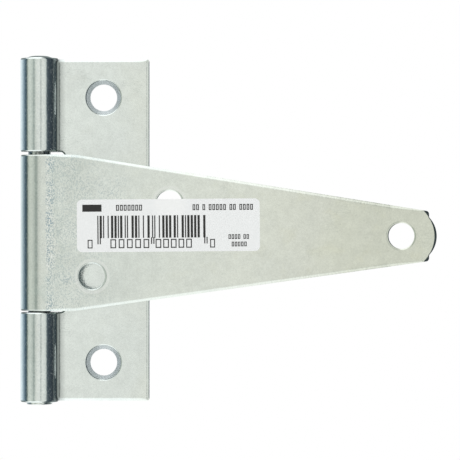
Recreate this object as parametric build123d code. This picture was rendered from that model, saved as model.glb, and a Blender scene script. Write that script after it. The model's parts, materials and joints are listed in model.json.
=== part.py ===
from build123d import *
import os
from math import asin, cos, radians, sin, tan

# A strap T hinge, closed: the pin is upright, both leaves point along +X, and the
# strap leaf lies in front (-Y) of the post leaf.  Millimetres, +Z up.

# ---- driving dimensions ------------------------------------------------------------
strap_reach = 101.6          # pin centre to strap tip, 4 in
post_height = 88.0           # along the pin
post_reach = 28.1            # pin centre to the post leaf's free edge
post_sheet = 2.0             # sheet thicknesses
strap_sheet = 1.9

pin_radius = 2.90
fixed_clearance = 0.02       # pin in the post leaf's knuckles, radial
running_clearance = 0.07     # pin in the strap's knuckle, radial
seam_gap = 0.3               # from a curl's free end to its own plate

# Post leaf: the notch that the strap's knuckle turns in, and the screw holes
notch_top = 20.1
notch_bottom = -21.1
notch_reach = 6.3            # pin centre to the notch's inner side
notch_corner = 1.2
leaf_corner = 0.6
post_hole_radius = 3.45
post_hole_reach = 16.3       # pin centre to the screw holes
post_hole_spacing = 68.3
post_sink_radius = 4.70      # countersink mouth
sink_angle = 82              # included angle of the countersinks, degrees

# Strap leaf: straight at the knuckle, then tapered to a tip with a rounded nose
knuckle_width = 39.9
knuckle_middle = -0.7        # height of the knuckle's middle
strap_set = 0.5              # degrees that the strap's middle line falls below square
taper_start = 9.2
taper_blend = 25             # radius where the straight sides turn into the taper
tip_shoulder = 99.65         # pin centre to the square shoulders beside the nose
tip_width = 12.7
nose_chord = 9.6             # height of the nose where it leaves the shoulders
tip_corner = 0.8
nose_corner = 0.5
strap_hole_radius = 3.30
strap_sink_radius = 4.60
strap_holes = [              # pin centre to the hole, height above the middle line
    (13.75, -11.0),
    (33.45, 7.75),
    (92.60, 0.0),
]

# Pin heads
dome_radius = 3.45
dome_height = 0.65
button_radius = 3.30
button_height = 0.65
button_rounding = 0.3

# Label on the strap's front face
label_length = 46.6
label_width = 13.4
label_thickness = 0.12
label_corner = 1.3
label_centre = (33.2, 1.2)
label_tilt = 0.44            # degrees, far end up
label_cut_radius = 3.6       # the paper is cut away round the screw hole beneath it

# ---- worked-out dimensions -----------------------------------------------------------
post_bore = pin_radius + fixed_clearance
strap_bore = pin_radius + running_clearance
post_outer = post_bore + post_sheet          # also the post leaf's mounting face, at +Y
strap_outer = strap_bore + strap_sheet       # also the strap's mounting face, at -Y
beyond = 3 * post_outer                      # past every edge of a curl
to_origin = Pos(-post_hole_reach, -post_outer, 0)


def middle_line(reach):
    """Height of the strap's middle line at a distance from the pin."""
    return knuckle_middle - reach * tan(radians(strap_set))


def rolled_profile(bore, sheet, side, reach):
    """Section square to the pin: a curl round the bore that runs into a flat plate."""
    outer = bore + sheet
    seam = asin((bore - seam_gap) / outer)
    mouth = Polygon(
        (0, 0),
        (beyond * cos(seam), side * beyond * sin(seam)),
        (beyond, side * beyond),
        (0, side * beyond),
        align=None,
    )
    plate = Pos(reach / 2, side * (bore + sheet / 2)) * Rectangle(reach, sheet)
    return Circle(outer) - Circle(bore) - mouth + plate


def through_y(sketch):
    """A prism of a front-view sketch (X right, Z up) that passes right through the hinge."""
    return extrude(Plane.XZ * sketch, amount=beyond, both=True)


def hole_cutter(radius, sink_radius, face, inward):
    """A countersunk screw hole on the Y axis; the mouth is at y = face, inward is +1 or -1 along Y."""
    sink_depth = (sink_radius - radius) / tan(radians(sink_angle / 2))
    shank = Rot(X=90) * Cylinder(radius, 2 * beyond)
    turn = Rot(X=-90) if inward > 0 else Rot(X=90)
    sink = turn * Cone(sink_radius, radius, sink_depth, align=(Align.CENTER, Align.CENTER, Align.MIN))
    return shank + Pos(0, face, 0) * sink


def make_post_leaf():
    """Rectangular leaf with an upper and a lower knuckle, flat on its +Y face."""
    profile = rolled_profile(post_bore, post_sheet, +1, post_reach)
    sheet = Pos(0, 0, -post_height / 2) * extrude(profile, amount=post_height)
    blank_length = post_reach + beyond
    blank = Pos(post_reach - blank_length / 2, 0) * RectangleRounded(blank_length, post_height, leaf_corner)
    notch_length = notch_reach + beyond
    notch_height = notch_top - notch_bottom
    notch = Pos(notch_reach - notch_length / 2, (notch_top + notch_bottom) / 2) * RectangleRounded(
        notch_length, notch_height, notch_corner
    )
    leaf = sheet & through_y(blank - notch)
    for end in (-1, 1):
        cutter = hole_cutter(post_hole_radius, post_sink_radius, post_bore, +1)
        leaf -= Pos(post_hole_reach, 0, end * post_hole_spacing / 2) * cutter
    return leaf


def strap_outline():
    """Front view of the strap: straight at the knuckle, tapered, with a round nose at the tip."""
    top = knuckle_middle + knuckle_width / 2
    bottom = knuckle_middle - knuckle_width / 2
    middle = middle_line(tip_shoulder)
    corners = Polyline(
        (tip_shoulder, middle + nose_chord / 2),
        (tip_shoulder, middle + tip_width / 2),
        (taper_start, top),
        (-beyond, top),
        (-beyond, bottom),
        (taper_start, bottom),
        (tip_shoulder, middle - tip_width / 2),
        (tip_shoulder, middle - nose_chord / 2),
    )
    nose = ThreePointArc(corners @ 1, (strap_reach, middle), corners @ 0)
    outline = make_face(Curve() + [corners, nose])
    for reach, radius, places in (
        (taper_start, taper_blend, (0, -1)),
        (tip_shoulder, tip_corner, (0, -1)),
        (tip_shoulder, nose_corner, (1, -2)),
    ):
        found = outline.vertices().filter_by_position(Axis.X, reach - 0.01, reach + 0.01).sort_by(Axis.Y)
        outline = fillet([found[place] for place in places], radius)
    return outline


def make_strap_leaf():
    """Tapered leaf with the middle knuckle, flat on its -Y face."""
    top = knuckle_middle + knuckle_width / 2
    profile = rolled_profile(strap_bore, strap_sheet, -1, strap_reach + 1)
    sheet = Pos(0, 0, top - knuckle_width) * extrude(profile, amount=knuckle_width)
    leaf = sheet & through_y(strap_outline())
    for reach, rise in strap_holes:
        cutter = hole_cutter(strap_hole_radius, strap_sink_radius, -strap_bore, -1)
        leaf -= Pos(reach, 0, middle_line(reach) + rise) * cutter
    return leaf


def make_hinge_pin():
    """Plain pin with a domed head above and a flat button head below."""
    top = post_height / 2
    foot = -top - button_height
    round_start = (button_radius - button_rounding, foot)
    round_end = (button_radius, foot + button_rounding)
    crown = (dome_height**2 + dome_radius**2) / (2 * dome_height)
    half_section = make_face(
        Curve()
        + [
            Line((0, foot), round_start),
            RadiusArc(round_start, round_end, -button_rounding),
            Polyline(
                round_end,
                (button_radius, -top),
                (pin_radius, -top),
                (pin_radius, top),
                (dome_radius, top),
            ),
            RadiusArc((dome_radius, top), (0, top + dome_height), -crown),
            Line((0, top + dome_height), (0, foot)),
        ]
    )
    return revolve(Plane.XZ * half_section, Axis.Z)


def make_barcode_label():
    """Paper label on the strap's front face, cut away where it crosses a screw hole."""
    x, z = label_centre
    sketch = Pos(x, z) * Rot(Z=label_tilt) * RectangleRounded(label_length, label_width, label_corner)
    reach, rise = strap_holes[1]
    sketch -= Pos(reach, middle_line(reach) + rise) * Circle(label_cut_radius)
    paper = extrude(Plane.XZ * sketch, amount=label_thickness)
    return Pos(0, -strap_outer, 0) * paper


parts = {
    "post_leaf": make_post_leaf(),
    "strap_leaf": make_strap_leaf(),
    "hinge_pin": make_hinge_pin(),
    "barcode_label": make_barcode_label(),
}

os.makedirs("parts", exist_ok=True)
for name, shape in parts.items():
    export_step(to_origin * shape, f"parts/{name}.step")
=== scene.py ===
import json
import math
import random

import bmesh
import bpy
import numpy as np
from mathutils import Matrix, Vector
from mathutils.geometry import delaunay_2d_cdt


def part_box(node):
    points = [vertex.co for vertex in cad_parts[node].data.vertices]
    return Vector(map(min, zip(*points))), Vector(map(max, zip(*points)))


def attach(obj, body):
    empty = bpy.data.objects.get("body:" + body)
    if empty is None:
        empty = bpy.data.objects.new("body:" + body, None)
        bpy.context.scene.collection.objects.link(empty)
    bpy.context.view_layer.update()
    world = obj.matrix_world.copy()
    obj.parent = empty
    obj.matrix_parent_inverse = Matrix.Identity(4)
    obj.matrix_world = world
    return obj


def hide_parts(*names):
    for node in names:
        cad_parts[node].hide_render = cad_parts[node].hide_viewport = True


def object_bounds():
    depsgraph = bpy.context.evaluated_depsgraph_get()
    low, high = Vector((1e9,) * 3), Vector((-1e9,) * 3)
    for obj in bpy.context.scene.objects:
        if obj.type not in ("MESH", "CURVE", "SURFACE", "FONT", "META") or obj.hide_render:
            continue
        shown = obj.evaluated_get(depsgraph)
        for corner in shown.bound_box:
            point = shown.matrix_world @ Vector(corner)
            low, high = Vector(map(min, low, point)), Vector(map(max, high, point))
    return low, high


# A strap T hinge in bright zinc plate. The CAD model gives the frame; this script makes
# each piece again as a fine mesh, rolled and pressed the way the real sheet is.
# Blender works in metres; MM turns the millimetre sizes below into metres.

MM = 0.001

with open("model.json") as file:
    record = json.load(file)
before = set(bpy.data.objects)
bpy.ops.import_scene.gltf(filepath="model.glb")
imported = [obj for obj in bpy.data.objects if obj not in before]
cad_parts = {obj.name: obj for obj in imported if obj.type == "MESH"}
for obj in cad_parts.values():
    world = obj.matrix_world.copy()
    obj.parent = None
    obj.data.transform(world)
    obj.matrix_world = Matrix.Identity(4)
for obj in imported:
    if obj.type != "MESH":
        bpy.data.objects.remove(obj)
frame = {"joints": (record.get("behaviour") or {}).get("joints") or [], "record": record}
cad_low, cad_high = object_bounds()
mounts = {mount["name"]: mount for mount in frame["record"]["mounts"]}

# ---- sizes -------------------------------------------------------------------------
pin_x, pin_y, _ = frame["joints"][0]["pos_m"]
pin_radius = 2.90 * MM
post_bore = 2.92 * MM          # inside radius of the post leaf's knuckles
strap_bore = 2.97 * MM         # inside radius of the strap's knuckle

post_low, post_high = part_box("post_leaf")
strap_low, strap_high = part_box("strap_leaf")
post_sheet = post_high.y - pin_y - post_bore
strap_sheet = pin_y - strap_low.y - strap_bore

seam_gap = 0.3 * MM            # from a curl's free end to its own plate
notch_reach = 6.3 * MM         # pin centre to the inner side of the post leaf's notch
notch_top = 20.1 * MM
notch_bottom = -21.1 * MM
notch_corner = 1.2 * MM
leaf_corner = 0.6 * MM         # the post leaf's outer corners and the curls' free corners

strap_set = math.radians(0.5)  # how far the strap's middle line falls below square
taper_start = 9.2 * MM
taper_blend = 25 * MM
tip_shoulder = 99.65 * MM
tip_width = 12.7 * MM
tip_corner = 0.8 * MM
nose_chord = 9.6 * MM
nose_point = 103.95 * MM       # where the nose's two flanks would meet
nose_radius = 6.85 * MM
nose_corner = 0.5 * MM
tip_flat_radius = 8.7 * MM     # the flat of the strap ends in one arc inside the tip's outline
tip_flat_reach = 100.92 * MM
tip_flat_squash = 0.97         # that arc's height, as a part of the outline's height
tip_roll_least = 0.22 * MM     # the narrowest that the tip's roll gets, at the roots of the nose
tip_roll_slope = 0.62
curl_ease = 1.05 * MM          # how much wider the strap's curl opens where it meets the plate
curl_ease_length = 8 * MM

post_sink_radius = 4.70 * MM
strap_sink_radius = 4.60 * MM
sink_half_angle = math.radians(41)
mouth_width = 0.40 * MM        # rounded mouth of a countersink
mouth_depth = 0.24 * MM
mouth_rings = 6
mouth_inside = 0.7             # the part of the mouth's width that lies inside the countersink's edge
sink_steps = 4                 # faint rings that the countersink drill leaves
sink_ring_depth = 0.012 * MM
land_least = 0.12 * MM         # the shortest straight wall left in a countersunk hole

# Rounding along a punched edge: width, depth, and how suddenly it starts (1 is a plain bevel)
plate_roll = (1.5 * MM, 0.45 * MM, 3.0)
free_edge_roll = (1.2 * MM, 0.235 * MM, 3.0)
rim_roll = (0.50 * MM, 0.24 * MM, 2.2)
burr_roll = (0.16 * MM, 0.07 * MM, 2.0)
hole_roll = (0.8 * MM, 0.20 * MM, 3.0)
tip_roll = (0.66 * MM, 0.42 * MM, 1.25)
tip_edge_roll = (0.50 * MM, 0.13 * MM, 3.0)

outline_step = 0.45 * MM       # sample spacing along an outline and round a curl
plate_step = 2.0 * MM          # grid spacing inside the flat plates
arc_step = math.radians(9)
roll_rings = 9
hole_samples_least = 72
wall_round = 0.006 * MM        # how sharply a roll turns into the sheared wall
bump_depth = 0.007 * MM


def flat_place(mount_name):
    """A strap screw hole's place on the blank: distance from the pin, and height."""
    x, _, z = mounts[mount_name]["pos_m"]
    return (x - pin_x, z)


# ---- outlines ------------------------------------------------------------------------
def as_rows(vectors):
    return np.array([tuple(vector) for vector in vectors])


def corner_turn(before, here, after):
    """Directions into and out of a corner, and the left turn between them."""
    into = (here - before).normalized()
    out = (after - here).normalized()
    return into, out, math.atan2(into.cross(out), into.dot(out))


def trace_path(points, radii, counts=None, step=outline_step):
    """Samples a closed path with rounded corners: points, normals on the right, and piece counts.

    Given another path's counts, it takes as many samples of each arc and straight as that path."""
    total = len(points)
    arcs = []
    for i in range(total):
        into, _, turn = corner_turn(points[i - 1], points[i], points[(i + 1) % total])
        start = points[i] - into * radii[i] * math.tan(abs(turn) / 2)
        arcs.append((start, Vector((into.y, -into.x)), turn, radii[i]))
    made_counts, spots, normals = [], [], []
    for i, (start, right, turn, radius) in enumerate(arcs):
        side = math.copysign(1, turn)
        centre = start - right * radius * side
        if counts is not None:
            arc_pieces = counts[i][0]
        elif radius == 0:
            arc_pieces = 0
        else:
            arc_pieces = max(math.ceil(abs(turn) / arc_step), math.ceil(abs(turn) * radius / step))
        for k in range(arc_pieces + 1):
            normal = Matrix.Rotation(turn * k / max(arc_pieces, 1), 2) @ right
            spots.append(centre + normal * radius * side)
            normals.append(normal)
        reach = arcs[(i + 1) % total][0]
        if counts is None:
            straight_pieces = max(1, math.ceil((reach - spots[-1]).length / step))
        else:
            straight_pieces = counts[i][1]
        end = spots[-1]
        for k in range(1, straight_pieces):
            spots.append(end.lerp(reach, k / straight_pieces))
            normals.append(normals[-1].copy())
        made_counts.append((arc_pieces, straight_pieces))
    return spots, normals, made_counts


def rolled_face(points, radii, rolls, counts):
    """Where the flat face ends inside an outline, and the roll's depth and power, sample by sample."""
    total = len(points)
    flat_points, flat_radii = [], []
    for i in range(total):
        into, out, turn = corner_turn(points[i - 1], points[i], points[(i + 1) % total])
        n_in, n_out = Vector((into.y, -into.x)), Vector((out.y, -out.x))
        width = rolls[i][0]
        flat_points.append(points[i] - (n_in + n_out) * width / (1 + n_in.dot(n_out)))
        radius = radii[i] - math.copysign(width, turn)    # never so small that the flat's corner is sharp
        flat_radii.append(max(radius, 0.5 * width) if abs(turn) > 1e-6 else 0.0)
    flats, _, _ = trace_path(flat_points, flat_radii, counts)
    depths, powers = [], []
    for i, (arc_pieces, straight_pieces) in enumerate(counts):
        _, depth, power = rolls[i]
        _, next_depth, next_power = rolls[(i + 1) % total]
        for k in range(arc_pieces + straight_pieces):
            t = max(0, k - arc_pieces) / straight_pieces
            depths.append(depth + (next_depth - depth) * t)
            powers.append(power + (next_power - power) * t)
    return as_rows(flats), np.array(depths), np.array(powers)


def sheet_outline(corners):
    """Border samples of (along, height, corner radius, roll on the front, on the back), and how
    the front and the back face roll over to it."""
    points = [Vector(corner[:2]) for corner in corners]
    radii = [corner[2] for corner in corners]
    border, _, counts = trace_path(points, radii)
    front = rolled_face(points, radii, [corner[3] for corner in corners], counts)
    back = rolled_face(points, radii, [corner[4] for corner in corners], counts)
    return as_rows(border), front, back


def edge_rings(border, sheet, inner, outer):
    """Rings (x, y, depth) over a sheared edge, from the inner face's flat to the outer face's,
    with which of the steps between them are sheared and which are drilled."""

    def ring(spots, depth):
        return np.column_stack([spots, np.broadcast_to(depth, len(spots))])

    inner_flat, inner_depth, inner_power = inner
    outer_flat, outer_depth, outer_power = outer
    rings = []
    for k in range(roll_rings + 1):
        t = k / roll_rings
        rings.append(ring(inner_flat + (border - inner_flat) * t, inner_depth * t ** inner_power))
    rings.append(ring(border, inner_depth + wall_round))
    rings.append(ring(border, sheet - outer_depth - wall_round))
    for k in range(roll_rings, -1, -1):
        t = k / roll_rings
        rings.append(ring(outer_flat + (border - outer_flat) * t, sheet - outer_depth * t ** outer_power))
    return np.array(rings), range(roll_rings + 1, roll_rings + 2), range(0)


def hole_rings(centre, radius, sheet, sink_radius, roll):
    """Rings for a screw hole: a stepped drilled countersink on the inner face and a rolled edge on
    the outer one, with which of the steps between them are sheared and which are drilled."""
    count = max(hole_samples_least, math.ceil(2 * math.pi * radius / outline_step))
    angles = -2 * math.pi * np.arange(count) / count
    spokes = np.column_stack([np.cos(angles), np.sin(angles)])
    roll_width, roll_depth, roll_power = roll
    section = []                     # radius, depth
    for k in range(mouth_rings + 1):
        t = k / mouth_rings
        section.append((sink_radius + mouth_width * (1 - mouth_inside - t), mouth_depth * t * t))
    cone_start = sink_radius - mouth_width * mouth_inside
    cone_width = cone_start - radius
    cone_depth = min(cone_width / math.tan(sink_half_angle), sheet - roll_depth - mouth_depth - land_least)
    for k in range(sink_steps):      # each step dips a little, comes back, and goes on straight
        for part, dip in ((0.35, sink_ring_depth), (0.8, 0.0), (1.0, 0.0)):
            t = (k + part) / sink_steps
            section.append((cone_start - cone_width * t, mouth_depth + cone_depth * t - dip))
    first_wall = len(section) - 1
    section.append((radius, mouth_depth + cone_depth + wall_round))
    section.append((radius, sheet - roll_depth - wall_round))
    for k in range(roll_rings, -1, -1):
        t = k / roll_rings
        section.append((radius + roll_width * (1 - t), sheet - roll_depth * t ** roll_power))
    rings = [np.column_stack([np.array(centre) + spokes * r, np.full(count, d)]) for r, d in section]
    return np.array(rings), range(first_wall, first_wall + 2), range(mouth_rings, first_wall)


# ---- pressed and rolled sheet ----------------------------------------------------------
def inside_loop(points, loop):
    """Which of the points lie inside a closed loop."""
    result = np.zeros(len(points), bool)
    for (x1, y1), (x2, y2) in zip(loop, np.roll(loop, -1, axis=0)):
        if y1 == y2:
            continue
        crosses = (points[:, 1] > y1) != (points[:, 1] > y2)
        at = x1 + (points[:, 1] - y1) * (x2 - x1) / (y2 - y1)
        result ^= crosses & (points[:, 0] < at)
    return result


def fill_face(loops):
    """Triangles that fill an outline round its holes, with a grid of inner points added.

    loops[0] is the outline; the grid is finer where the sheet is curled or eased."""
    outline = loops[0]
    low, high = outline.min(0), outline.max(0)
    columns = list(np.arange(low[0] + outline_step, curl_ease_length, outline_step))
    columns += list(np.arange(curl_ease_length, high[0], plate_step))
    rows = np.arange(low[1] + plate_step / 2, high[1], plate_step)
    grid = np.array([(x, y) for x in columns for y in rows])
    keep = inside_loop(grid, outline)
    for hole in loops[1:]:
        keep &= ~inside_loop(grid, hole)
    grid = grid[keep]
    border = np.concatenate(loops)
    gap = np.array([np.hypot(*(border - point).T).min() for point in grid])
    grid = grid[gap > 0.6 * outline_step]    # none so near the border that it makes slivers
    points = np.concatenate([border, grid])
    edges = []
    start = 0
    for loop in loops:
        edges += [(start + k, start + (k + 1) % len(loop)) for k in range(len(loop))]
        start += len(loop)
    found = delaunay_2d_cdt([Vector(p) for p in points / MM], edges, [], 0, 1e-7)
    source = [ids[0] for ids in found[3]]
    triangles = np.array([[source[v] for v in face] for face in found[2]])
    middles = points[triangles].mean(axis=1)
    keep = inside_loop(middles, outline)
    for hole in loops[1:]:
        keep &= ~inside_loop(middles, hole)
    return grid, triangles[keep]


class Bend:
    """Lays a flat blank (along, height, depth) on the plate and rolls its near end round the pin.

    Depth runs from the inner face of the curl to its outer face."""

    def __init__(self, bore, sheet, side, ease):
        self.bore = bore
        self.sheet = sheet
        self.side = side                     # +1: the plate is behind the pin, -1: in front
        self.ease = ease
        self.outer = bore + sheet
        seam = math.asin((bore - seam_gap) / self.outer)
        self.curl_length = (1.5 * math.pi + seam) * self.outer

    def place(self, spots):
        """Points in space for rows of (along, height, depth)."""
        along, height, depth = spots.T
        angle = np.maximum(0.0, -along / self.outer)
        radius = self.bore + depth
        opened = np.where(angle < math.pi / 2, 1 - np.sin(angle), 0.0)
        fade = np.clip(1 - along / curl_ease_length, 0, 1)
        opened = np.where(along > 0, fade * fade * (3 - 2 * fade), opened)
        x = np.maximum(along, 0.0) - radius * np.sin(angle) + self.ease * opened * depth / self.sheet
        y = self.side * radius * np.cos(angle)
        return np.column_stack([pin_x + x, pin_y + y, height])

    def turn_normals(self, spots, normals):
        """Turns normals of the flat blank to the bent sheet."""
        nudge = np.array([0.02 * MM, 0, 0])
        tangent = self.place(spots + nudge) - self.place(spots - nudge)
        tangent /= np.linalg.norm(tangent, axis=1)[:, None]
        outward = np.column_stack([-tangent[:, 1], tangent[:, 0], tangent[:, 2]]) * self.side
        up = np.array([0, 0, 1.0])
        turned = normals[:, :1] * tangent + normals[:, 1:2] * up + normals[:, 2:] * outward
        return turned / np.linalg.norm(turned, axis=1)[:, None]


def ring_normals(rings):
    """Normals of a ring surface in the flat blank, by differences between neighbours."""
    along = np.roll(rings, -1, axis=1) - np.roll(rings, 1, axis=1)
    across = np.gradient(rings, axis=0)
    normals = np.cross(along, across)
    lengths = np.linalg.norm(normals, axis=2)
    normals /= np.maximum(lengths, 1e-15)[:, :, None]
    normals[0] = (0, 0, -1)
    normals[-1] = (0, 0, 1)
    return normals


def new_object(name, vertices, faces, materials, face_materials=None, normals=None):
    """A mesh object with its faces turned outward, smooth where the true surface's normals are given."""
    mesh = bpy.data.meshes.new(name)
    mesh.from_pydata(vertices, [], faces)
    for material in materials:
        mesh.materials.append(material)
    if face_materials is not None:
        mesh.polygons.foreach_set("material_index", face_materials)
    work = bmesh.new()
    work.from_mesh(mesh)
    bmesh.ops.recalc_face_normals(work, faces=work.faces)
    work.to_mesh(mesh)
    work.free()
    if normals is not None:
        mesh.polygons.foreach_set("use_smooth", [True] * len(mesh.polygons))
        mesh.normals_split_custom_set_from_vertices(normals)
    piece = bpy.data.objects.new(name, mesh)
    bpy.context.scene.collection.objects.link(piece)
    return piece


def pressed_sheet(name, bend, loops, materials):
    """A closed sheet-metal piece. loops holds (rings, sheared steps, drilled steps), outline first."""
    spots, normals, faces, face_materials = [], [], [], []
    total = 0
    face_loops = {"inner": [], "outer": []}
    for rings, walls, drilled in loops:
        steps, count, _ = rings.shape
        for k in range(steps - 1):
            material = 1 if k in walls else 2 if k in drilled else 0
            for j in range(count):
                i = (j + 1) % count
                row, above = total + k * count, total + (k + 1) * count
                faces.append((row + j, row + i, above + i, above + j))
                face_materials.append(material)
        spots.append(rings.reshape(-1, 3))
        normals.append(ring_normals(rings).reshape(-1, 3))
        face_loops["inner"].append((range(total, total + count), rings[0][:, :2]))
        last = total + (steps - 1) * count
        face_loops["outer"].append((range(last, last + count), rings[-1][:, :2]))
        total += steps * count

    for key, depth, lift in (("inner", 0.0, -1), ("outer", bend.sheet, 1)):
        ids = [i for ring, _ in face_loops[key] for i in ring]
        grid, triangles = fill_face([flat for _, flat in face_loops[key]])
        ids += range(total, total + len(grid))
        total += len(grid)
        spots.append(np.column_stack([grid, np.full(len(grid), depth)]))
        normals.append(np.tile((0, 0, lift), (len(grid), 1)))
        faces += [tuple(ids[v] for v in triangle) for triangle in triangles]
        face_materials += [0] * len(triangles)
    spots, normals = np.concatenate(spots), np.concatenate(normals)
    turned = bend.turn_normals(spots, normals).tolist()
    return new_object(name, bend.place(spots).tolist(), faces, materials, face_materials, turned)


# ---- node helpers for materials ----------------------------------------------------------
class Nodes:
    """A short way to write a node tree."""

    def __init__(self, tree):
        self.tree = tree
        tree.nodes.clear()

    def add(self, kind, inputs=(), **settings):
        node = self.tree.nodes.new(kind)
        for key, value in settings.items():
            setattr(node, key, value)
        for key, value in dict(inputs).items():
            if isinstance(value, bpy.types.NodeSocket):
                self.tree.links.new(value, node.inputs[key])
            else:
                node.inputs[key].default_value = value
        return node

    def math(self, operation, a, b=0.0):
        return self.add("ShaderNodeMath", {0: a, 1: b}, operation=operation).outputs[0]

    def product(self, first, *others):
        for other in others:
            first = self.math("MULTIPLY", first, other)
        return first

    def scaled(self, vector, scale):
        node = self.add("ShaderNodeVectorMath", {0: vector, 1: scale}, operation="MULTIPLY")
        return node.outputs[0]

    def noise(self, vector, scale, detail=2.0, roughness=0.5):
        inputs = {"Vector": vector, "Scale": scale, "Detail": detail, "Roughness": roughness}
        return self.add("ShaderNodeTexNoise", inputs).outputs["Fac"]

    def range(self, value, low, high, to_low, to_high):
        """to_low where value is low or less, to_high where it is high or more, and even between."""
        inputs = {"Value": value, "From Min": low, "From Max": high, "To Min": to_low, "To Max": to_high}
        return self.add("ShaderNodeMapRange", inputs, clamp=True).outputs[0]

    def away(self, value, middle):
        """How far value is from middle, on either side."""
        return self.math("ABSOLUTE", self.math("SUBTRACT", value, middle))

    def mix(self, factor, a, b):
        """Colour a, or colour b where factor is 1."""
        return self.add("ShaderNodeMix", {0: factor, 6: a, 7: b}, data_type="RGBA").outputs[2]

    def ramp(self, factor, stops):
        """Colours that change with factor: (position, colour) from 0 to 1."""
        node = self.add("ShaderNodeValToRGB", {"Fac": factor})
        elements = node.color_ramp.elements
        while len(elements) < len(stops):
            elements.new(0.5)
        for element, (position, colour) in zip(elements, stops):
            element.position = position
            element.color = (*colour, 1)
        return node.outputs[0]

    def bump(self, height, depth, strength=1.0):
        inputs = {"Height": height, "Strength": strength, "Distance": depth}
        return self.add("ShaderNodeBump", inputs).outputs[0]

    def principled(self, **shader_inputs):
        """The material's shader and its output."""
        inputs = {key.replace("_", " "): value for key, value in shader_inputs.items()}
        shader = self.add("ShaderNodeBsdfPrincipled", inputs)
        self.add("ShaderNodeOutputMaterial", {"Surface": shader.outputs[0]})


def new_material(name):
    """An empty node material, its nodes, and the place on the object."""
    material = bpy.data.materials.new(name)
    material.use_nodes = True
    n = Nodes(material.node_tree)
    return material, n, n.add("ShaderNodeTexCoord").outputs["Object"]


# ---- materials -----------------------------------------------------------------------------
# Noise scales count cells per metre, so 1000 is one cell per millimetre.
stain_yellow = (0.74, 0.75, 0.60, 1)
speck_white = (0.95, 0.97, 0.96, 1)
pit_dark = (0.32, 0.43, 0.50, 1)
pit_light = (0.94, 0.97, 0.95, 1)
# Light painted onto the pressed rings round two strap holes as their sheen
pressed_sheen_white = (0.93, 0.95, 0.93, 1)
# Black painted as shade beside the post's curls, and as darkening in the pin's gaps
gap_black = (0.05, 0.06, 0.06, 1)


def zinc_tint(n, place, along, mottle, tints):
    """Tint along the part, pushed about by the mottle, with faint yellow stains far from the pin."""
    wander = n.range(mottle, 0.35, 0.65, -6 * MM, 6 * MM)
    first, last = tints[0][0], tints[-1][0]
    spread = n.range(n.math("ADD", along, wander), first * MM, last * MM, 0.0, 1.0)
    colour = n.ramp(spread, [((distance - first) / (last - first), tint) for distance, tint in tints])
    stain = n.range(n.noise(n.scaled(place, (1.0, 1.0, 1.3)), 230.0, 3.0), 0.56, 0.70, 0.0, 0.35)
    stain = n.product(stain, n.range(along, 30 * MM, 90 * MM, 0.15, 1.0))
    return n.mix(stain, colour, stain_yellow)


def zinc_scratches(n, place):
    """Short scratches: the edges of long cells, broken up by noise."""
    cells = n.scaled(place, (75.0, 75.0, 300.0))
    lines = n.add("ShaderNodeTexVoronoi", {"Vector": cells}, feature="DISTANCE_TO_EDGE").outputs["Distance"]
    broken = n.range(n.noise(place, 150.0), 0.60, 0.66, 0.0, 0.8)
    return n.product(n.range(lines, 0.0, 0.012, 1.0, 0.0), broken)


def zinc_specks(n, place):
    """Fresh specks that shine, in patches."""
    dots = n.add("ShaderNodeTexVoronoi", {"Vector": place, "Scale": 620.0}).outputs["Distance"]
    patches = n.range(n.noise(place, 260.0), 0.62, 0.66, 0.0, 1.0)
    return n.product(n.range(dots, 0.05, 0.11, 1.0, 0.0), patches)


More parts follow.
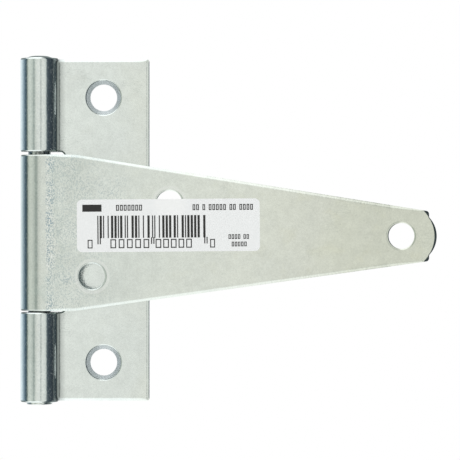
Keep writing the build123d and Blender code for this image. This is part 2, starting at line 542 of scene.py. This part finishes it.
def zinc_material(name, tints, roughness, marks):
    """Bright zinc plate on rolled sheet: drifting tint, mottle, grain, scratches and specks.

    tints lists (millimetres from the pin, colour). marks(n, along, depth, height) gives how much
    bending and handling have pitted the plate, how much it is darkened (painted shade beside the
    post's curls, darkening in the pin's gaps), and where a painted sheen lightens pressed rings."""
    material, n, place = new_material(name)
    x, depth, height = n.add("ShaderNodeSeparateXYZ", {0: place}).outputs
    along = n.math("SUBTRACT", x, pin_x)
    mottle = n.noise(place, 70.0, 3.0, 0.55)
    cloud = n.noise(place, 420.0, 2.0)
    grain = n.noise(place, 1900.0, 2.0, 0.65)
    rolling = n.noise(n.scaled(place, (110.0, 2300.0, 2300.0)), 1.0, 2.0, 0.6)
    scratches = zinc_scratches(n, place)

    shade = n.math("ADD", n.range(mottle, 0.3, 0.7, 0.95, 1.05), n.range(grain, 0.3, 0.7, -0.05, 0.05))
    shade = n.math("ADD", shade, n.range(cloud, 0.3, 0.7, -0.035, 0.035))
    shade = n.math("SUBTRACT", shade, n.product(scratches, 0.10))
    tint = zinc_tint(n, place, along, mottle, tints)
    colour = n.add("ShaderNodeVectorMath", {0: tint, "Scale": shade}, operation="SCALE").outputs[0]
    colour = n.mix(n.product(zinc_specks(n, place), 0.6), colour, speck_white)

    # Pits, dark and light, where the plate was bent or rubbed; pressed rings with a painted sheen; painted
    # shade beside the post's curls and darkening in the pin's gaps
    pitted, darkened, ring_sheen = marks(n, along, depth, height)
    pits = n.noise(n.scaled(place, (1.0, 1.0, 0.7)), 3300.0, 2.0, 0.6)
    dark = n.product(n.range(pits, 0.50, 0.60, 0.0, 0.95), pitted)
    light = n.product(n.range(pits, 0.48, 0.38, 0.0, 0.90), pitted)
    colour = n.mix(dark, colour, pit_dark)
    colour = n.mix(light, colour, pit_light)
    colour = n.mix(ring_sheen, colour, pressed_sheen_white)
    colour = n.mix(darkened, colour, gap_black)

    # Salt: dull white flecks on the curls, which show where the metal mirrors something dark
    salt = n.range(n.noise(place, 2600.0, 2.0, 0.6), 0.58, 0.66, 0.0, 0.15)
    on_curls = n.range(along, 4.5 * MM, 6.0 * MM, 1.0, 0.0)
    metallic = n.math("SUBTRACT", 1.0, n.product(salt, on_curls))

    relief = n.math("ADD", n.product(grain, 2.0), n.product(rolling, 0.5))
    relief = n.math("SUBTRACT", relief, scratches)
    relief = n.math("ADD", relief, n.product(cloud, 3.0))
    relief = n.math("SUBTRACT", relief, n.product(pits, pitted, 2.5))
    rough = n.range(n.math("ADD", mottle, grain), 0.7, 1.3, roughness - 0.02, roughness + 0.04)
    n.principled(Base_Color=colour, Metallic=metallic, Roughness=rough, Normal=n.bump(relief, bump_depth))
    return material


def distance_from(n, along, height, centre):
    """Distance on the plate from a point given as (along, height)."""
    across = n.math("SUBTRACT", along, centre[0])
    up = n.math("SUBTRACT", height, centre[1])
    return n.math("SQRT", n.math("ADD", n.product(across, across), n.product(up, up)))


def post_marks(n, along, depth, height):
    """The knuckles are finely pitted, and painted shade darkens the plate beside the curls' free ends."""
    pitted = n.range(along, 4.0 * MM, 6.2 * MM, 0.14, 0.0)
    # Painted shade: the plate is darkened beside the curls' free ends, where the curl shades it
    past_curl = n.range(along, 4.2 * MM, 4.5 * MM, 0.0, 1.0)
    thinner = n.range(along, 4.7 * MM, 5.0 * MM, 0.8, 0.36)
    fading = n.range(along, 5.0 * MM, 6.6 * MM, 1.0, 0.0)
    at_front = n.math("LESS_THAN", n.away(depth, pin_y + 0.5 * MM), 2.9 * MM)   # not on the leaf's back
    return pitted, n.product(past_curl, thinner, fading, at_front), 0.0


def strap_marks(n, along, depth, height):
    """Pits along the bend that die out over the plate, two rubbed patches, and light rings round two screw
    holes, pressed zinc with a painted sheen.
    """
    bend_starts = n.range(along, 1.7 * MM, 2.4 * MM, 0.12, 1.0)
    bend_ends = n.range(along, 3.4 * MM, 4.4 * MM, 1.0, 0.36)
    pitted = n.product(bend_starts, bend_ends, n.range(along, 10 * MM, 22 * MM, 1.0, 0.0))
    rubbed = [                       # along, height, radius, strength
        (8.0 * MM, -11.5 * MM, 6.0 * MM, 0.55),
        (18.5 * MM, 8.0 * MM, 8.5 * MM, 0.40),
    ]
    for *centre, radius, strength in rubbed:
        distance = distance_from(n, along, height, centre)
        pitted = n.math("MAXIMUM", pitted, n.range(distance, 0.3 * radius, radius, strength, 0.0))
    place = n.add("ShaderNodeCombineXYZ", {0: along, 1: depth, 2: height}).outputs[0]
    pitted = n.product(pitted, n.range(n.noise(place, 240.0, 2.0), 0.35, 0.60, 0.45, 1.0))
    # Painted sheen: a lighter ring on the pressed zinc round each of these holes
    ring = 0.0
    for mount_name in ("strap_screw_near_knuckle", "strap_screw_middle"):
        distance = distance_from(n, along, height, flat_place(mount_name))
        ring_radius = mounts[mount_name]["dims"]["r_mm"] * MM + 0.80 * MM
        pressed = n.range(n.away(distance, ring_radius), 0.30 * MM, 0.48 * MM, 0.42, 0.0)
        ring = n.math("MAXIMUM", ring, pressed)
    return pitted, 0.0, ring


def pin_marks(n, along, depth, height):
    """Darker in the gaps between the knuckles: black in the lower gap and patchy in the upper one."""
    place = n.add("ShaderNodeCombineXYZ", {0: along, 1: depth, 2: height}).outputs[0]
    patchy = n.range(n.noise(place, 900.0, 2.0), 0.42, 0.55, 0.15, 0.85)
    in_lower = n.range(n.away(height, notch_bottom), 2 * MM, 2.2 * MM, 0.9, 0.0)
    in_upper = n.range(n.away(height, notch_top), 2 * MM, 2.2 * MM, 1.0, 0.0)
    return 0.2, n.math("MAXIMUM", in_lower, n.product(in_upper, patchy)), 0.0


def edge_material(name, colour, roughness, metallic):
    """Plated metal off a cutting tool: fine lines, duller than the rolled face."""
    material, n, place = new_material(name)
    tears = n.noise(n.scaled(place, (2400.0, 260.0, 2400.0)), 1.0, 3.0, 0.6)
    grey = n.mix(tears, (*[0.82 * c for c in colour], 1), (*colour, 1))
    n.principled(Base_Color=grey, Metallic=metallic, Roughness=roughness, Normal=n.bump(tears, 0.03 * MM))
    return material


def paper_material():
    """Coated label paper with a faint fibre mottle, and painted light over the strap's middle hole, where
    the paper is paler as if lit from behind.
    """
    material, n, place = new_material("label_paper")
    fibre = n.noise(n.scaled(place, (900.0, 900.0, 1600.0)), 1.0, 3.0, 0.6)
    colour = n.mix(fibre, (0.80, 0.815, 0.81, 1), (0.84, 0.855, 0.85, 1))
    x, _, height = n.add("ShaderNodeSeparateXYZ", {0: place}).outputs
    over_hole = distance_from(n, n.math("SUBTRACT", x, pin_x), height, flat_place("strap_screw_middle"))
    # Painted light: the paper over the hole is lightened as if lit through it from behind
    colour = n.mix(n.range(over_hole, 3.0 * MM, 5.0 * MM, 0.4, 0.0), colour, (0.92, 0.92, 0.90, 1))
    n.principled(Base_Color=colour, Roughness=0.42, Normal=n.bump(fibre, 0.01 * MM, strength=0.4))
    return material


def ink_material():
    """Thermal print: near black, a little uneven."""
    material, n, place = new_material("label_ink")
    wear = n.noise(place, 2200.0, 2.0)
    n.principled(Base_Color=n.mix(wear, (0.010, 0.010, 0.009, 1), (0.024, 0.023, 0.021, 1)), Roughness=0.45)
    return material


bluish = (0.84, 0.89, 0.86)
greenish = (0.80, 0.84, 0.79)
bend_shade_green = (0.71, 0.77, 0.72)
yellowed = (0.725, 0.75, 0.655)
post_tints = [(-5, bluish), (18, bluish), (30, greenish)]
strap_tints = [                      # millimetres from the pin, colour
    (-5, greenish),
    (2, (0.775, 0.82, 0.765)),
    # Darker from 2 to 16 mm, most at 3.5 mm: painted shade where the plate tilts just past the curl
    (3.5, bend_shade_green),
    (7, (0.76, 0.81, 0.76)),
    (16, (0.795, 0.845, 0.80)),
    (45, (0.795, 0.83, 0.77)),
    (58, (0.79, 0.82, 0.75)),
    (70, (0.765, 0.79, 0.71)),
    (82, yellowed),
    (105, yellowed),
]
post_zinc = zinc_material("zinc_post", post_tints, 0.12, post_marks)
strap_zinc = zinc_material("zinc_strap", strap_tints, 0.12, strap_marks)
pin_zinc = zinc_material("zinc_pin", [(-5, greenish), (5, greenish)], 0.20, pin_marks)
sheared_zinc = edge_material("zinc_sheared", (0.74, 0.76, 0.75), 0.34, 0.9)
drilled_zinc = edge_material("zinc_drilled", (0.78, 0.84, 0.85), 0.44, 0.6)


# ---- the leaves --------------------------------------------------------------------------
def make_post_leaf():
    """The post leaf: two knuckles with a notch between them, and two countersunk holes."""
    bend = Bend(post_bore, post_sheet, +1, 0.0)
    reach = post_high.x - pin_x
    top, bottom = post_high.z, post_low.z
    free = -bend.curl_length
    curl_end = 3.0 * MM              # the wide roll starts here and is full at roll_full
    roll_full = 6.0 * MM
    roll_change = 2.5 * MM           # it narrows over this length before the free edge
    corners = [                      # along, height, corner radius, roll on the front, on the back
        (reach, bottom, leaf_corner, free_edge_roll, burr_roll),
        (reach, top, leaf_corner, free_edge_roll, burr_roll),
        (reach - roll_change, top, 0, plate_roll, burr_roll),
        (roll_full, top, 0, plate_roll, burr_roll),
        (curl_end, top, 0, rim_roll, rim_roll),
        (free, top, leaf_corner, burr_roll, rim_roll),
        (free, notch_top, leaf_corner, burr_roll, rim_roll),
        (notch_reach, notch_top, notch_corner, rim_roll, rim_roll),
        (notch_reach, notch_bottom, notch_corner, rim_roll, rim_roll),
        (free, notch_bottom, leaf_corner, burr_roll, rim_roll),
        (free, bottom, leaf_corner, burr_roll, rim_roll),
        (curl_end, bottom, 0, rim_roll, rim_roll),
        (roll_full, bottom, 0, plate_roll, burr_roll),
        (reach - roll_change, bottom, 0, plate_roll, burr_roll),
    ]
    border, front, back = sheet_outline(corners)
    loops = [edge_rings(border, post_sheet, front, back)]
    screws = mounts["post_leaf_screws"]
    radius = screws["dims"]["hole_r_mm"] * MM
    spacing = screws["dims"]["spacing_y_mm"] * MM
    middle_x, _, middle_z = screws["pos_m"]
    for end in (1, -1):
        centre = (middle_x - pin_x, middle_z + end * spacing / 2)
        loops.append(hole_rings(centre, radius, post_sheet, post_sink_radius, burr_roll))
    return pressed_sheet("post_leaf_sheet", bend, loops, [post_zinc, sheared_zinc, drilled_zinc])


def make_strap_leaf():
    """The strap: one knuckle, a long taper, a round-nosed tip, and three countersunk holes."""
    bend = Bend(strap_bore, strap_sheet, -1, curl_ease)
    top, bottom = strap_high.z, strap_low.z
    middle = (top + bottom) / 2
    free = -bend.curl_length
    curl_end = 1.0 * MM              # the wide roll starts here and is full at roll_full
    roll_full = 6.0 * MM
    roll_fades = 90 * MM             # from here it changes to the tip's own roll

    def middle_line(along):
        return middle - along * math.tan(strap_set)

    def tip(reach, rise, radius, roll=tip_roll):
        return (reach, middle_line(reach) + rise, radius, roll, burr_roll)

    def flank(reach, side):
        """A point on the strap's straight upper or lower edge."""
        t = (reach - taper_start) / (tip_shoulder - taper_start)
        end = middle_line(tip_shoulder) + side * tip_width / 2
        start = top if side > 0 else bottom
        return (reach, start + (end - start) * t, 0, plate_roll, burr_roll)

    corners = [                      # along, height, corner radius, roll on the front, on the back
        (roll_full, bottom, 0, plate_roll, burr_roll),
        (taper_start, bottom, taper_blend, plate_roll, burr_roll),
        flank(roll_fades, -1),
        tip(tip_shoulder, -tip_width / 2, tip_corner, tip_edge_roll),
        tip(tip_shoulder, -nose_chord / 2, nose_corner),
        tip(nose_point, 0, nose_radius),
        tip(tip_shoulder, nose_chord / 2, nose_corner),
        tip(tip_shoulder, tip_width / 2, tip_corner, tip_edge_roll),
        flank(roll_fades, +1),
        (taper_start, top, taper_blend, plate_roll, burr_roll),
        (roll_full, top, 0, plate_roll, burr_roll),
        (curl_end, top, 0, rim_roll, rim_roll),
        (free, top, leaf_corner, rim_roll, burr_roll),
        (free, bottom, leaf_corner, rim_roll, burr_roll),
        (curl_end, bottom, 0, rim_roll, rim_roll),
    ]
    border, (flat, depths, powers), back = sheet_outline(corners)

    # At the tip the flat face ends in one arc, whatever the outline does outside it
    rise = border[:, 1] - middle_line(border[:, 0])
    arc_rise = rise * tip_flat_squash
    arc_centre = tip_flat_reach - tip_flat_radius
    arc = arc_centre + np.sqrt(np.maximum(tip_flat_radius ** 2 - arc_rise ** 2, 0.0))
    at_tip = border[:, 0] > arc
    inset = np.maximum(border[:, 0] - arc, tip_roll_least)
    ends = border[:, 0] - inset
    flat[at_tip] = np.column_stack([ends, middle_line(ends) + arc_rise])[at_tip]
    depths[at_tip] = tip_roll_slope * inset[at_tip]
    powers[at_tip] = tip_roll[2]
    loops = [edge_rings(border, strap_sheet, back, (flat, depths, powers))]
    for name in ("strap_screw_near_knuckle", "strap_screw_middle", "strap_screw_tip"):
        radius = mounts[name]["dims"]["r_mm"] * MM
        loops.append(hole_rings(flat_place(name), radius, strap_sheet, strap_sink_radius, hole_roll))
    return pressed_sheet("strap_leaf_sheet", bend, loops, [strap_zinc, sheared_zinc, drilled_zinc])


# ---- the pin -------------------------------------------------------------------------------
def make_pin():
    """A turned pin: a low domed head above, a flat button head below."""
    pin_low, pin_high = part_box("hinge_pin")
    dome_radius = (pin_high.x - pin_low.x) / 2
    button_radius = 3.30 * MM
    top, bottom = post_high.z, post_low.z
    corners = [                      # radius, height, rounding
        (0, pin_low.z, 0),
        (button_radius, pin_low.z, 0.3 * MM),
        (button_radius, bottom, 0.05 * MM),
        (pin_radius, bottom, 0.02 * MM),
        (pin_radius, top, 0.02 * MM),
        (dome_radius, top, 0.04 * MM),
        (dome_radius - 0.10 * MM, top + 0.16 * MM, 0.10 * MM),
        (dome_radius * 0.60, pin_high.z - 0.02 * MM, 4 * MM),
        (0, pin_high.z, 0),
    ]
    points = [Vector((x, y)) for x, y, _ in corners]
    spots, ways, _ = trace_path(points, [corner[2] for corner in corners], step=1 * MM)
    profile = [(spot, way) for spot, way in zip(spots, ways) if spot.x > 1e-6]
    turns = 96
    vertices, normals, faces = [], [], []
    for spot, way in profile:
        for k in range(turns):
            angle = 2 * math.pi * k / turns
            spoke = Vector((math.cos(angle), math.sin(angle), 0))
            vertices.append(Vector((pin_x, pin_y, spot.y)) + spoke * spot.x)
            normals.append(spoke * way.x + Vector((0, 0, way.y)))
    for row in range(len(profile) - 1):
        for k in range(turns):
            i = (k + 1) % turns
            faces.append((row * turns + k, row * turns + i, (row + 1) * turns + i, (row + 1) * turns + k))
    last = (len(profile) - 1) * turns
    faces.append(tuple(range(turns)))
    faces.append(tuple(last + k for k in range(turns)))
    return new_object("hinge_pin_turned", vertices, faces, [pin_zinc], normals=normals)


# ---- the label -------------------------------------------------------------------------------
label_length = 46.6 * MM
label_width = 13.4 * MM
label_corner = 1.3 * MM
label_tilt = math.radians(0.44)
paper_thickness = 0.105 * MM
ink_thickness = 0.012 * MM

# The print, in millimetres from the label's lower left corner
bar_unit = 0.29                # the narrowest bar
bars_left, bars_right = 5.2, 33.3
bars_foot, bars_height = 3.55, 5.7
bars_end = bars_right - 1.0    # no bar starts past this
guard_foot, guard_height = 2.0, 1.7
guard_starts = (bars_left, (bars_left + bars_right) / 2 - 0.4, bars_right - 0.9)
blank_device = (1.4, 10.3, 4.9, 1.8)
captions = [                   # x, y, word lengths, box width, box height, stroke, gap
    (10.0, 10.5, [7], 0.74, 1.5, 0.24, 0.24),
    (29.5, 10.5, [2, 1, 5, 2, 4], 0.68, 1.5, 0.23, 0.24),
    (2.7, 0.95, [1], 1.25, 2.2, 0.25, 0.3),
    (8.5, 0.95, [5], 1.45, 2.3, 0.27, 0.66),
    (20.0, 0.95, [5], 1.45, 2.3, 0.27, 0.50),
    (33.9, 0.95, [1], 1.25, 2.2, 0.25, 0.3),
    (38.6, 3.1, [4, 2], 0.60, 1.2, 0.20, 0.20),
    (39.4, 1.2, [5], 0.60, 1.2, 0.20, 0.20),
]


def make_label():
    """The paper label with generic bars and placeholder boxes printed on it."""
    low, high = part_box("barcode_label")
    back = strap_low.y
    centre = Vector(((low.x + high.x) / 2, (low.z + high.z) / 2))
    turn = Matrix.Rotation(label_tilt, 2)
    vertices, faces, face_materials = [], [], []

    def slab(corners, near, far, material):
        """A flat prism of an outline on the label, between two distances in front of the strap."""
        start = len(vertices)
        for depth in (near, far):
            for spot in corners:
                turned = turn @ Vector(spot) + centre
                vertices.append((turned.x, back - depth, turned.y))
        count = len(corners)
        faces.append(tuple(start + count + k for k in range(count)))
        faces.append(tuple(start + count - 1 - k for k in range(count)))
        for k in range(count):
            i = (k + 1) % count
            faces.append((start + k, start + i, start + count + i, start + count + k))
        face_materials.extend([material] * (count + 2))

    def bar(x, y, width, height):
        """A printed rectangle, x and y its lower left corner from the label's lower left corner."""
        left = x * MM - label_length / 2
        foot = y * MM - label_width / 2
        right = left + width * MM
        head = foot + height * MM
        corners = [(left, foot), (right, foot), (right, head), (left, head)]
        slab(corners, paper_thickness, paper_thickness + ink_thickness, 1)

    def box_mark(x, y, width, height, stroke):
        """A small open box that stands for one printed character."""
        bar(x, y, width, stroke)
        bar(x, y + height - stroke, width, stroke)
        bar(x, y + stroke, stroke, height - 2 * stroke)
        bar(x + width - stroke, y + stroke, stroke, height - 2 * stroke)

    def text_line(x, y, words, width, height, stroke, gap):
        """Placeholder boxes in groups, one group for each word length."""
        for letters in words:
            for _ in range(letters):
                box_mark(x, y, width, height, stroke)
                x += width + gap
            x += width

    half_x, half_y = label_length / 2, label_width / 2
    corners = [(half_x, -half_y), (half_x, half_y), (-half_x, half_y), (-half_x, -half_y)]
    outline, _, _ = trace_path([Vector(c) for c in corners], [label_corner] * 4, step=60 * MM)
    slab(outline, 0.0, paper_thickness, 0)

    # Barcode: random bars, with a pair of longer guard bars at both ends and in the middle
    dice = random.Random(7)
    x = bars_left
    while x < bars_end:
        width = bar_unit * dice.choice((1, 1, 1, 2, 2, 3))
        bar(x, bars_foot, width, bars_height)
        x += width + bar_unit * dice.choice((1, 1, 2, 2, 3))
    for start in guard_starts:
        for k in range(2):
            bar(start + 2 * bar_unit * k, guard_foot, bar_unit, guard_height)

    # Placeholder marks where the print was: a blank device, then captions and digits
    bar(*blank_device)
    for caption in captions:
        text_line(*caption)
    return new_object("label_printed", vertices, faces, [paper_material(), ink_material()], face_materials)


for piece, node, body, slot in (
    (make_post_leaf(), "post_leaf", "post_side", "zinc_plate"),
    (make_strap_leaf(), "strap_leaf", "strap_side", "zinc_plate"),
    (make_pin(), "hinge_pin", "post_side", "zinc_pin"),
    (make_label(), "barcode_label", "strap_side", "label_paper"),
):
    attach(piece, body)
    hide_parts(node)


# ---- studio ----------------------------------------------------------------------------------
floor_radius = 360 * MM
floor_drop = 120 * MM          # from the hinge's lowest point
floor_shift = 30 * MM          # towards the strap


def make_floor():
    """A pale round floor, well below the hinge. The metal mirrors the studio instead of it."""
    bpy.ops.mesh.primitive_circle_add(vertices=96, radius=floor_radius, fill_type="NGON")
    floor = bpy.context.object
    floor.name = "floor"
    floor.location = (floor_shift, 0.0, cad_low.z - floor_drop)
    floor.visible_glossy = False
    material, n, _ = new_material("floor_white")
    glow = {"Emission_Color": (1.0, 1.0, 1.0, 1), "Emission_Strength": 0.12}
    n.principled(Base_Color=(0.94, 0.94, 0.94, 1), Roughness=0.8, **glow)
    floor.data.materials.append(material)


studio_ring = [                # bearing in degrees, right of the camera positive, and the light's colour
    (-180, (1.00, 1.03, 1.05)),
    (-145, (0.90, 0.97, 1.02)),
    (-128, (0.72, 0.82, 0.90)),
    (-111, (0.39, 0.49, 0.56)),
    (-100, (0.22, 0.29, 0.36)),
    (-91, (0.075, 0.125, 0.165)),
    (-79, (0.055, 0.09, 0.105)),
    (-72, (0.30, 0.34, 0.31)),
    (-67, (0.63, 0.67, 0.61)),
    (-53, (0.69, 0.72, 0.68)),
    (-38, (0.55, 0.59, 0.555)),
    (-33, (0.37, 0.41, 0.39)),
    (-27, (0.36, 0.40, 0.38)),
    (-21, (0.66, 0.68, 0.645)),
    (-12, (0.77, 0.78, 0.75)),
    (0, (0.83, 0.835, 0.81)),
    (7.5, (0.83, 0.835, 0.81)),
    (10.5, (0.45, 0.48, 0.47)),
    (13.5, (0.45, 0.48, 0.47)),
    (17, (0.80, 0.81, 0.79)),
    (29, (0.80, 0.81, 0.79)),
    (43, (0.68, 0.71, 0.69)),
    (49, (0.10, 0.13, 0.155)),
    (58, (0.055, 0.073, 0.09)),
    (90, (0.032, 0.042, 0.052)),
    (97, (0.07, 0.085, 0.09)),
    (106, (0.18, 0.21, 0.21)),
    (118, (0.22, 0.25, 0.25)),
    (130, (0.95, 0.98, 1.0)),
    (180, (1.00, 1.03, 1.05)),
]
room_grey = (0.20, 0.235, 0.24, 1)
overhead_white = (1.27, 1.29, 1.31, 1)
underneath_white = (1.14, 1.16, 1.17, 1)
diffuse_white = (1.02, 1.02, 1.02, 1)
backdrop_white = (1.0, 1.0, 1.0, 1)


def make_world():
    """White all round to the eye. The metal sees a studio: a broad soft light in front, dark flags
    at both sides, a low white band behind, and long soft lights overhead and underneath."""
    world = bpy.data.worlds.new("studio")
    bpy.context.scene.world = world
    world.use_nodes = True
    n = Nodes(world.node_tree)
    direction = n.add("ShaderNodeTexCoord").outputs["Generated"]
    x, y, z = n.add("ShaderNodeSeparateXYZ", {0: direction}).outputs
    bearing = n.math("ARCTAN2", x, n.product(y, -1.0))
    turn = n.range(bearing, -math.pi, math.pi, 0.0, 1.0)
    studio = n.ramp(turn, [((degrees + 180) / 360, colour) for degrees, colour in studio_ring])

    # Behind the hinge the white is a low band; above and below it the room is grey
    tilt = n.math("ABSOLUTE", z)
    behind = n.range(y, 0.05, 0.25, 0.0, 1.0)
    off_band = n.range(tilt, 0.12, 0.24, 0.0, 1.0)
    studio = n.mix(n.product(behind, off_band), studio, room_grey)

    # The long lights fade out to the right, and lie further up and down behind the hinge
    fade = n.range(x, 0.135, 0.235, 1.0, 0.0)
    setback = n.product(n.math("MAXIMUM", y, 0.0), 0.45)
    steep = n.range(n.math("SUBTRACT", tilt, setback), 0.44, 0.72, 0.0, 1.0)
    lit = n.product(steep, fade)
    studio = n.mix(n.product(lit, n.math("GREATER_THAN", z, 0.0)), studio, overhead_white)
    studio = n.mix(n.product(lit, n.math("LESS_THAN", z, 0.0)), studio, underneath_white)

    path = n.add("ShaderNodeLightPath")
    colour = n.mix(path.outputs["Is Diffuse Ray"], studio, diffuse_white)
    colour = n.mix(path.outputs["Is Camera Ray"], colour, backdrop_white)
    background = n.add("ShaderNodeBackground", {"Color": colour, "Strength": 1.0})
    n.add("ShaderNodeOutputWorld", {"Surface": background.outputs[0]})


def make_camera():
    """Square to the leaves and level with the middle of the pin."""
    data = bpy.data.cameras.new("camera")
    camera = bpy.data.objects.new("camera", data)
    bpy.context.scene.collection.objects.link(camera)
    distance = 660 * MM                         # from the strap's front face
    field = 117.2 * MM                          # width of the view at that face
    offset = 0.56 * MM                          # right of the hinge's middle
    data.sensor_width = 36                      # Blender wants the sensor and lens in millimetres
    data.lens = data.sensor_width * distance / field
    data.clip_start, data.clip_end = 0.01, 10
    middle = (cad_low + cad_high) / 2
    camera.location = (middle.x + offset, strap_low.y - distance, middle.z)
    camera.rotation_euler = (math.radians(90), 0, 0)
    bpy.context.scene.camera = camera


make_floor()
make_world()
make_camera()
bpy.context.scene.view_settings.view_transform = "Standard"
bpy.context.view_layer.update()
